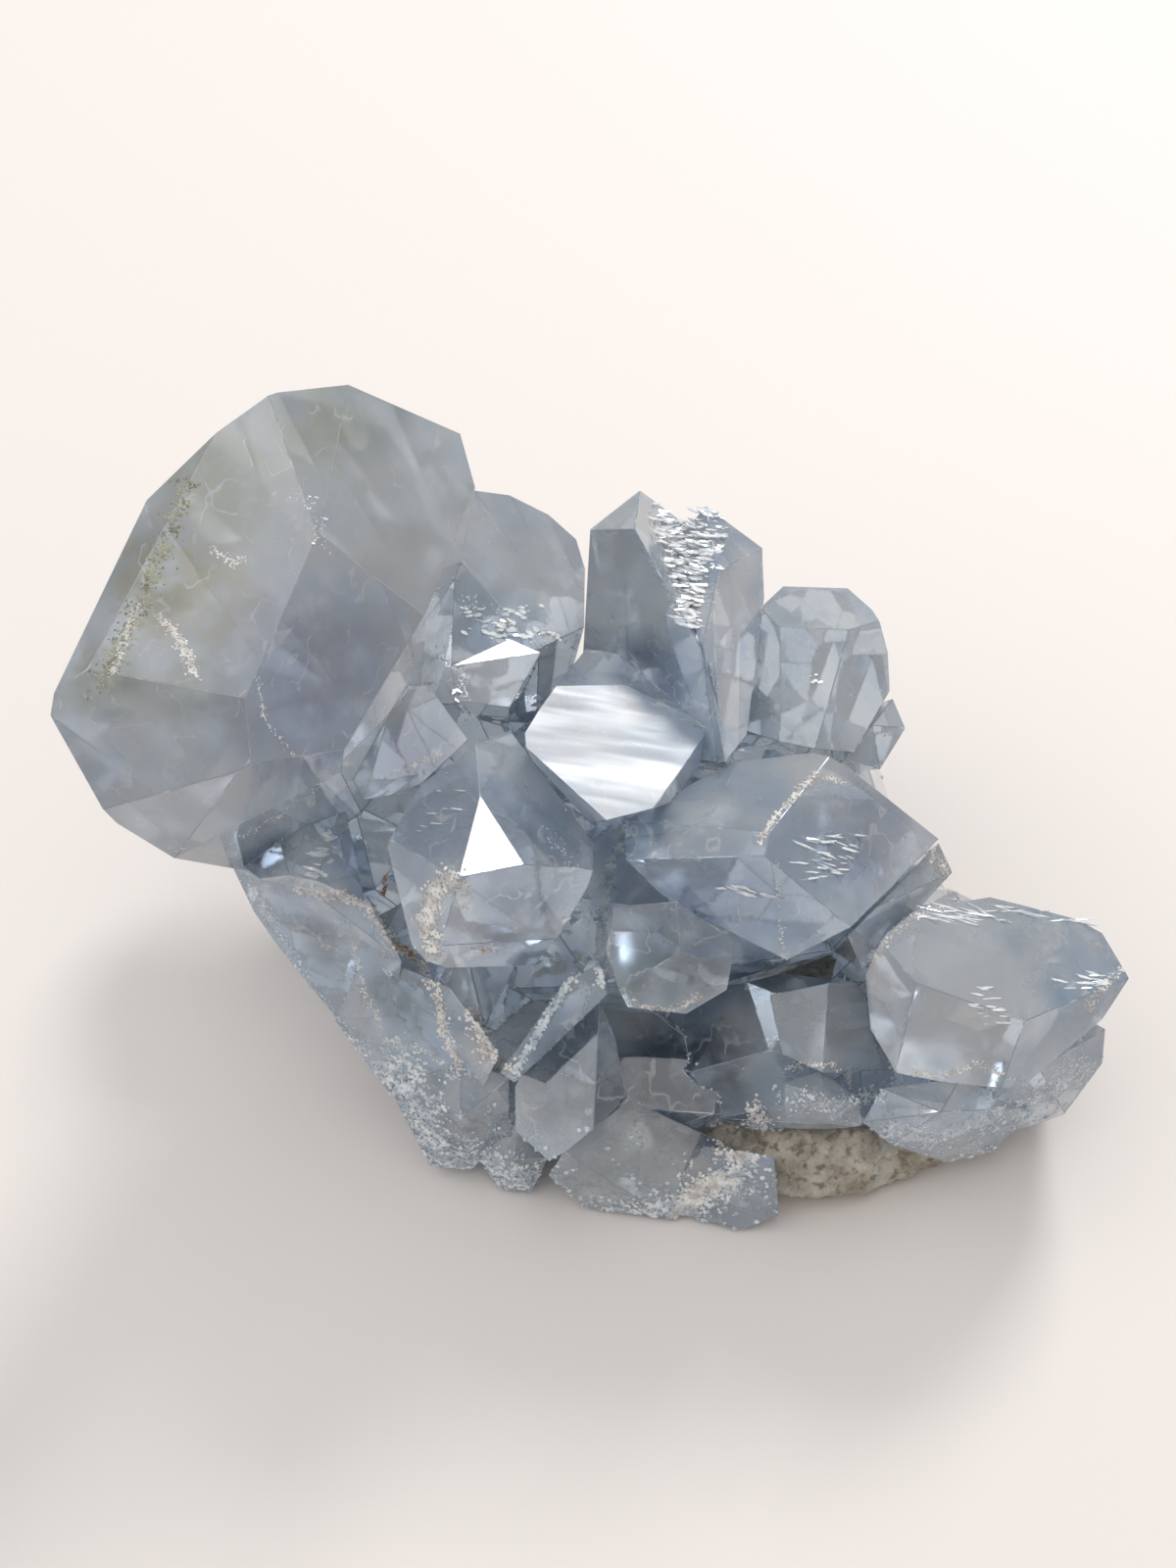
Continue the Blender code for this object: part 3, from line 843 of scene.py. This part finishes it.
class Druse:
    """A scatter of little grains, gathered into one piece."""

    def __init__(self, seed: int) -> None:
        """Start with no grains.

        Args:
            seed: The seed of every random draw.
        """
        self.chance = random.Random(seed)
        self.forms = grain_forms(6, self.chance)
        self.corners: list[Vector] = []
        self.faces: list[list[int]] = []

    def add(self, place: Vector, normal: Vector, size: float, squash: float = 0.7) -> None:
        """Add one grain.

        Args:
            place: Its middle in metres.
            normal: The way that it's squashed.
            size: Its size in millimetres.
            squash: Its height as a share of its size.
        """
        corners, faces = self.chance.choice(self.forms)
        turn = normal.to_track_quat("Z", "Y")
        spin = self.chance.uniform(0, math.tau)
        cos, sin = math.cos(spin), math.sin(spin)
        first = len(self.corners)
        for corner in corners:
            across = corner.x * cos - corner.y * sin
            along = corner.x * sin + corner.y * cos
            self.corners.append(place + turn @ (Vector((across, along, corner.z * squash)) * size * MM))
        self.faces.extend([[first + index for index in face] for face in faces])

    def plate(self, place: Vector, normal: Vector, across: Vector, size: Place, form: Form) -> None:
        """Add one flat form, lying square to a normal.

        Args:
            place: Its middle in metres.
            normal: The way its flat top looks.
            across: The way that its length runs.
            size: Its length, width and thickness in millimetres.
            form: Its corners and faces at size one.
        """
        side = normal.cross(across).normalized()
        first = len(self.corners)
        for corner in form[0]:
            offset = across * corner.x * size[0] + side * corner.y * size[1] + normal * corner.z * size[2]
            self.corners.append(place + offset * MM)
        self.faces.extend([[first + index for index in face] for face in form[1]])

    def piece(self, name: str, material: bpy.types.Material) -> bpy.types.Object:
        """Gather the grains into one piece that rides on the cluster.

        Args:
            name: The piece's name.
            material: What it's made of.

        Returns:
            The piece.
        """
        mesh = bpy.data.meshes.new(name)
        mesh.from_pydata([tuple(c) for c in self.corners], [], self.faces)
        mesh.materials.append(material)
        piece = link(name, mesh)
        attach(piece, "root")
        return piece


@dataclass(frozen=True)
class Trail:
    """A strip of grains along a line of photograph pixels. Its width and grain sizes are in mm."""

    line: tuple[tuple[float, float], ...]
    width: float
    grains: int
    small: float
    large: float
    squash: float = 0.7


TRAILS = {
    Crust.WHITE: (
        Trail(((462, 893), (440, 915), (437, 950), (445, 975)), 2.2, 572, 0.14, 0.50),
        Trail(((455, 900), (480, 905), (470, 925)), 1.2, 132, 0.11, 0.31),
        Trail(((775, 860), (790, 835), (812, 810), (832, 790)), 0.7, 264, 0.11, 0.37),
        Trail(((828, 790), (845, 794), (862, 800)), 0.7, 88, 0.08, 0.28),
        Trail(((478, 1030), (490, 1050), (495, 1072), (520, 1088)), 1.6, 264, 0.14, 0.50),
        Trail(((735, 1168), (755, 1180), (780, 1160), (770, 1130)), 2.4, 484, 0.14, 0.56),
        Trail(((690, 1245), (712, 1215), (745, 1200)), 2.4, 484, 0.17, 0.62),
        Trail(((640, 1020), (665, 1030), (690, 1030), (715, 1015)), 0.8, 198, 0.08, 0.31),
        Trail(((300, 905), (340, 912), (375, 925), (400, 960), (430, 985)), 1.3, 440, 0.11, 0.43),
        Trail(((430, 985), (445, 1010), (452, 1050), (470, 1090)), 1.2, 308, 0.11, 0.43),
        Trail(((792, 880), (800, 990), (860, 985)), 0.7, 110, 0.08, 0.25),
        Trail(((140, 615), (126, 655), (112, 690)), 1.0, 198, 0.08, 0.31, 0.5),
        Trail(((165, 630), (180, 650), (192, 672), (200, 690)), 1.3, 286, 0.08, 0.34, 0.5),
        Trail(((215, 560), (240, 575), (250, 570)), 1.0, 110, 0.07, 0.25, 0.5),
        Trail(((300, 500), (325, 530), (330, 560)), 1.6, 50, 0.07, 0.25, 0.5),
        Trail(((262, 690), (270, 735), (300, 770)), 0.6, 88, 0.07, 0.22, 0.5),
        Trail(((170, 868), (240, 858), (290, 830), (340, 790), (395, 720)), 0.7, 198, 0.07, 0.25, 0.5),
        Trail(((885, 985), (905, 960), (930, 935), (965, 925)), 0.8, 198, 0.08, 0.31),
        Trail(((930, 1095), (960, 1098), (1000, 1085), (1030, 1100), (1060, 1112)), 0.8, 198, 0.08, 0.31),
        Trail(((1110, 1030), (1130, 1000), (1150, 985)), 1.0, 198, 0.08, 0.31),
        Trail(((360, 960), (372, 1010), (392, 1060), (440, 1075), (470, 1100)), 0.8, 260, 0.08, 0.3, 0.5),
        Trail(((950, 870), (965, 890), (975, 915)), 1.4, 220, 0.11, 0.37),
        Trail(((800, 1090), (850, 1085), (870, 1110)), 0.8, 132, 0.08, 0.31),
        Trail(((450, 770), (430, 778), (400, 790)), 0.6, 110, 0.07, 0.22),
    ),
    Crust.PALE: (
        Trail(((640, 842), (622, 890), (612, 950), (614, 1005)), 1.0, 484, 0.14, 0.50),
        Trail(((600, 975), (575, 1010), (545, 1060), (525, 1095)), 1.0, 352, 0.14, 0.50),
        Trail(((395, 1075), (420, 1120), (440, 1170), (480, 1190), (520, 1205), (560, 1215)), 5.0, 2100, 0.15,
              0.6, 0.5),
        Trail(((600, 1245), (660, 1240), (720, 1225), (760, 1190), (770, 1150)), 3.5, 1100, 0.15, 0.6, 0.5),
        Trail(((880, 1160), (940, 1165), (1000, 1150), (1060, 1120), (1110, 1085)), 3.0, 900, 0.12, 0.45,
              0.5),
        Trail(((250, 900), (280, 940), (310, 1000), (350, 1050), (390, 1100)), 1.6, 500, 0.10, 0.36, 0.5),
        Trail(((800, 1120), (850, 1130), (900, 1115)), 2.4, 400, 0.10, 0.4, 0.5),
    ),
    Crust.SPARK: (
        Trail(((548, 762), (560, 790), (580, 820), (595, 850)), 1.4, 154, 0.07, 0.19, 0.4),
        Trail(((560, 850), (590, 900), (600, 950)), 2.2, 132, 0.06, 0.17, 0.4),
        Trail(((440, 660), (470, 690), (480, 735)), 1.2, 132, 0.08, 0.25, 0.5),
        Trail(((470, 615), (500, 630), (530, 650), (580, 660)), 2.6, 132, 0.08, 0.31, 0.5),
    ),
    Crust.RUST: (
        Trail(((392, 895), (392, 915)), 0.5, 52, 0.11, 0.28),
        Trail(((400, 962), (412, 968), (424, 978)), 0.7, 88, 0.11, 0.34),
        Trail(((484, 968), (508, 972)), 0.6, 39, 0.08, 0.25),
    ),
    Crust.OLIVE: (
        Trail(((192, 490), (172, 550), (150, 600), (128, 650), (100, 700)), 2.6, 620, 0.08, 0.36, 0.4),
    ),
}


@dataclass(frozen=True)
class Glint:
    """Flat growth steps that face the lamp, in a field of the photograph from a top to a foot line.

    Each line is its left, its right and its row in pixels. The steps' lengths are in mm.
    """

    top: tuple[float, float, float]
    foot: tuple[float, float, float]
    count: int
    long: tuple[float, float]
    thin: float = 0.3
    sides: int = 5
    waver: float = 0.10


GLINTS = (
    Glint((655, 738, 506), (698, 714, 640), 330, (0.6, 3.2), 0.2, 5, 0.13),
    Glint((718, 745, 515), (722, 735, 580), 24, (0.4, 1.2), 0.3),
    Glint((470, 560, 618), (475, 575, 655), 60, (0.3, 1.4), 0.5, 5, 0.2),
    Glint((541, 560, 707), (545, 552, 722), 3, (1.4, 1.9), 0.8, 3, 0.02),
    Glint((453, 462, 692), (470, 476, 725), 5, (0.8, 1.6), 0.4, 3, 0.05),
    Glint((574, 591, 930), (574, 591, 940), 3, (1.2, 1.7), 0.8, 3, 0.02),
    Glint((573, 580, 950), (573, 580, 956), 1, (0.8, 1.0), 0.7, 4, 0.02),
    Glint((545, 572, 972), (545, 572, 990), 4, (1.2, 2.2), 0.6, 3, 0.08),
    Glint((335, 342, 850), (300, 335, 895), 26, (0.6, 2.4), 0.14),
    Glint((455, 480, 785), (428, 465, 850), 9, (0.6, 2.2), 0.03),
    Glint((935, 1095, 925), (940, 1105, 941), 46, (1.4, 5.0), 0.05),
    Glint((977, 1010, 1008), (1000, 1040, 1045), 16, (0.6, 2.2), 0.16),
    Glint((1075, 1130, 990), (1080, 1128, 1012), 14, (0.8, 3.0), 0.14),
    Glint((800, 875, 852), (815, 862, 898), 36, (0.8, 3.4), 0.10, 5, 0.2),
    Glint((735, 805, 905), (745, 795, 915), 12, (0.8, 2.8), 0.12),
    Glint((456, 466, 1093), (456, 466, 1103), 3, (0.5, 0.9), 0.7),
    Glint((300, 345, 500), (310, 350, 560), 4, (0.3, 1.0), 0.3),
    Glint((822, 845, 688), (822, 845, 700), 5, (0.3, 0.8), 0.5),
)


@dataclass
class CrystalCluster:
    """The clear crystals, the crust and growth steps on them, and the wall rock. Sizes are in mm."""

    eye: Eye
    edge_width: float = 0.06
    edge_angle: float = 14.0
    facet_step: float = 2.0
    divide_rounds: int = 6
    rock_grit: float = 0.6
    rock_relief: float = 0.8
    rock_layers: tuple[tuple[float, float], ...] = ((3.5, 0.7), (1.3, 0.45), (0.6, 0.25))
    rock_sink: float = 0.2
    pit_size: float = 1.8
    pit_shift: Place = (9, 3, 5)
    pit_start: float = 0.25
    pit_depth: float = 1.6
    seam_seed: int = 7
    seam_angle: float = 12.0
    seam_grains: float = 6.0
    seam_top: float = 30.0
    seam_share: tuple[float, float] = (0.35, 0.6)
    seam_spread: float = 0.3
    seam_size: tuple[float, float, float] = (0.08, 0.3, 0.35)
    trail_seed: int = 20
    step_seed: int = 31
    step_facing: Place = (0.22, 0.02, 0.975)
    step_turn: float = 0.15
    step_thickness: float = 0.12
    step_least: float = 0.06
    crust_seed: int = 5
    crust_top: float = 16.0
    crust_grains: float = 3.0
    crust_clump: float = 3.5
    crust_foot: float = 0.8
    crust_bare: float = 0.35
    crust_overhang: float = -0.3
    crust_size: tuple[float, float] = (0.15, 0.7)
    crust_squash: float = 0.6

    def __post_init__(self) -> None:
        """Copy the crystals and keep their surface."""
        self.crystals = copy_of("crystals", "clear_crystals")
        self.skin = BVHTree.FromObject(self.crystals, bpy.context.evaluated_depsgraph_get())
        self.finishes = {crust: crust.finish() for crust in Crust}

    def clear_crystals(self) -> bpy.types.Object:
        """Dress the crystals with their facets, thin pale edges, stains and painted shade.

        Returns:
            The crystals.
        """
        piece = self.crystals
        for finish in (CelestiteFinish(), EdgeFinish()):
            piece.data.materials.append(finish.material())
        apply_modifier(piece, "BEVEL", width=self.edge_width * MM, segments=1, limit_method="ANGLE",
                       angle_limit=math.radians(self.edge_angle), material=1, use_clamp_overlap=False)
        self.divide(piece)
        # stains and painted shade go into the piece's own attributes
        StainsAndPaintedShade(self.eye, self.skin).paint(piece)
        only(piece)
        bpy.ops.object.shade_flat()
        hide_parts("crystals")
        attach(piece, "root")
        return piece

    def divide(self, piece: bpy.types.Object) -> None:
        """Divide a piece's facets until no edge is longer than facet_step, with every corner on its facet.

        Args:
            piece: The piece.
        """
        shape = bmesh.new()
        shape.from_mesh(piece.data)
        bmesh.ops.triangulate(shape, faces=shape.faces[:])
        for _ in range(self.divide_rounds):
            long = [edge for edge in shape.edges if edge.calc_length() > self.facet_step * MM]
            if not long:
                break
            bmesh.ops.subdivide_edges(shape, edges=long, cuts=1)
            bmesh.ops.triangulate(shape, faces=shape.faces[:])
        shape.to_mesh(piece.data)
        shape.free()

    def wall_rock(self) -> bpy.types.Object:
        """Build the wall rock with a gritty, pitted surface and a flat underside.

        Returns:
            The wall rock.
        """
        piece = copy_of("matrix", "wall_rock")
        apply_modifier(piece, "REMESH", mode="VOXEL", voxel_size=self.rock_grit * MM)
        mesh = piece.data
        shift = Vector(self.pit_shift)
        moved = []
        for place, normal in [(v.co.copy(), v.normal.copy()) for v in mesh.vertices]:
            spot = place / MM
            swell = sum(height * noise.noise(spot / size) for size, height in self.rock_layers)
            pit = max(0.0, noise.noise(spot / self.pit_size + shift) - self.pit_start) * self.pit_depth
            place += normal * (swell - pit - self.rock_sink) * self.rock_relief * MM
            moved.extend((place.x, place.y, max(place.z, 0.0)))
        mesh.vertices.foreach_set("co", moved)
        mesh.update()
        only(piece)
        bpy.ops.object.shade_smooth()
        mesh.materials.append(RockFinish().material())
        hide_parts("matrix")
        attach(piece, "root")
        return piece

    def seams(self) -> list[tuple[Vector, Vector, Vector]]:
        """Find the edges where crystals meet in a hollow.

        Returns:
            Each edge's start, end and outward normal.
        """
        shape = bmesh.new()
        shape.from_mesh(self.crystals.data)
        shape.normal_update()
        found = []
        for edge in shape.edges:
            if len(edge.link_faces) == 2 and edge.calc_face_angle_signed() < -math.radians(self.seam_angle):
                normal = (edge.link_faces[0].normal + edge.link_faces[1].normal).normalized()
                found.append((edge.verts[0].co.copy(), edge.verts[1].co.copy(), normal))
        shape.free()
        return found

    def seam_crust(self) -> bpy.types.Object:
        """Scatter pale grains along the seams, thickest near the foot.

        Returns:
            The grains.
        """
        druse = Druse(self.seam_seed)
        chance = druse.chance
        few, more = self.seam_share
        small, large, larger = self.seam_size
        for start, end, normal in self.seams():
            length = (end - start).length / MM
            for _ in range(int(length * self.seam_grains)):
                spot = start.lerp(end, chance.random())
                low = max(0.0, 1 - spot.z / (self.seam_top * MM))
                if chance.random() > few + more * low:
                    continue
                aside = Vector([chance.uniform(-1, 1) for _ in range(3)]) * self.seam_spread * MM
                druse.add(spot + aside, normal, chance.uniform(small, large + larger * low))
        return druse.piece("seam_crust", self.finishes[Crust.PALE])

    def trails(self) -> list[bpy.types.Object]:
        """Scatter the strips of grains.

        Returns:
            One piece for each kind of crust.
        """
        pieces = []
        for index, crust in enumerate(Crust):
            druse = Druse(self.trail_seed + index)
            chance = druse.chance
            for trail in TRAILS[crust]:
                legs = list(zip(trail.line, trail.line[1:]))
                reaches = [math.dist(*leg) for leg in legs]
                spread = trail.width * PHOTO_PIXELS_PER_MM / 2
                for _ in range(trail.grains):
                    first, last = chance.choices(legs, reaches)[0]
                    share = chance.random()
                    pixel = [a + (b - a) * share for a, b in zip(first, last)]
                    pixel = [p + chance.gauss(0, 0.5) * spread for p in pixel]
                    place, normal = self.skin.ray_cast(self.eye.place(), self.eye.ray(*pixel))[:2]
                    if place is not None:
                        druse.add(place, normal, chance.uniform(trail.small, trail.large), trail.squash)
            pieces.append(druse.piece(f"crust_{crust.name.lower()}", self.finishes[crust]))
        return pieces

    def glints(self) -> bpy.types.Object:
        """Scatter the small bright growth steps and facets.

        Returns:
            The steps.
        """
        druse = Druse(self.step_seed)
        chance = druse.chance
        lamp = Vector(self.step_facing)
        for glint in GLINTS:
            form = plate_form(glint.sides)
            for _ in range(glint.count):
                down = chance.random()
                left, right, row = (a + (b - a) * down for a, b in zip(glint.top, glint.foot))
                pixel = (chance.uniform(left, right), row)
                place = self.skin.ray_cast(self.eye.place(), self.eye.ray(*pixel))[0]
                if place is None:
                    continue
                normal = (lamp + Vector([chance.gauss(0, glint.waver) for _ in range(3)])).normalized()
                if glint.sides > 3:
                    across = Vector((1, chance.gauss(0, self.step_turn), 0))
                else:
                    across = Vector((chance.choice((1, -1)), 1, 0))
                across = (across - normal * across.dot(normal)).normalized()
                length = chance.uniform(*glint.long)
                width = max(length * glint.thin, self.step_least)
                druse.plate(place, normal, across, (length, width, self.step_thickness), form)
        piece = druse.piece("growth_steps", self.finishes[Crust.SPARK])
        only(piece)
        bpy.ops.object.shade_flat()
        return piece

    def base_crust(self) -> bpy.types.Object:
        """Scatter the rough pale grains low down all round the cluster.

        Returns:
            The grains.
        """
        druse = Druse(self.crust_seed)
        chance = druse.chance
        mesh = self.crystals.data
        mesh.calc_loop_triangles()
        corners = [v.co for v in mesh.vertices]
        top = self.crust_top * MM
        for triangle in mesh.loop_triangles:
            a, b, c = (corners[index] for index in triangle.vertices)
            if min(a.z, b.z, c.z) > top or triangle.normal.z < self.crust_overhang:
                continue
            wanted = triangle.area / MM**2 * self.crust_grains
            for _ in range(int(wanted) + (chance.random() < wanted % 1)):
                u, v = sorted((chance.random(), chance.random()))
                spot = a * u + b * (v - u) + c * (1 - v)
                clump = noise.noise(spot / (self.crust_clump * MM))
                clump = clump + self.crust_foot * (1 - spot.z / top) - self.crust_bare
                if spot.z < top and chance.random() < clump:
                    druse.add(spot, triangle.normal, chance.uniform(*self.crust_size), self.crust_squash)
        return druse.piece("base_crust", self.finishes[Crust.PALE])


@dataclass
class Studio:
    """The pale floor, the lights and the eye. Sizes are in metres."""

    eye: Eye = field(default_factory=Eye)
    boxes: tuple[Softbox, ...] = (
        Softbox("key", (0.32, 0.68, 0.66), 0.9, 0.24, 3.6, (1.0, 0.99, 0.98)),
        Softbox("fill", (-1.0, -0.25, 0.55), 1.2, 1.0, 1.6, (0.97, 0.98, 1.0)),
        Softbox("overhead", (-0.35, -0.05, 1.0), 1.4, 1.8, 6.6),
    )
    floor_size: float = 6.0
    floor_drop: float = 0.0001
    room_colour: Colour = (0.98, 0.99, 1.0)
    room_strength: float = 0.55

    def floor(self) -> None:
        """Lay the floor just under the cluster."""
        bpy.ops.object.select_all(action="DESELECT")
        bpy.ops.mesh.primitive_plane_add(size=self.floor_size, location=(0, 0, -self.floor_drop))
        floor = bpy.context.active_object
        floor.name = "floor"
        floor.data.transform(floor.matrix_world)
        floor.matrix_world.identity()
        floor.data.materials.append(FloorFinish().material())

    def room(self) -> None:
        """Light the room softly from all round."""
        world = bpy.data.worlds.new("soft_room")
        world.use_nodes = True
        back = world.node_tree.nodes["Background"]
        back.inputs["Color"].default_value = (*self.room_colour, 1)
        back.inputs["Strength"].default_value = self.room_strength
        bpy.context.scene.world = world
        bpy.context.scene.view_settings.view_transform = "Standard"

    def set_up(self) -> None:
        """Set the camera, hang the lights, lay the floor and light the room."""
        self.eye.set_up()
        aim = Vector(self.eye.aim) * MM
        for box in self.boxes:
            box.set_up(aim)
        self.floor()
        self.room()


def main() -> None:
    """Build and dress the cluster."""
    logging.basicConfig(level=logging.INFO)
    studio = Studio()
    studio.set_up()
    cluster = CrystalCluster(studio.eye)
    for piece in (cluster.seam_crust(), cluster.base_crust(), *cluster.trails(), cluster.glints(),
                  cluster.clear_crystals(), cluster.wall_rock()):
        LOG.info("%s: %d faces", piece.name, len(piece.data.polygons))
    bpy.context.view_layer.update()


if __name__ == "__main__":
    main()
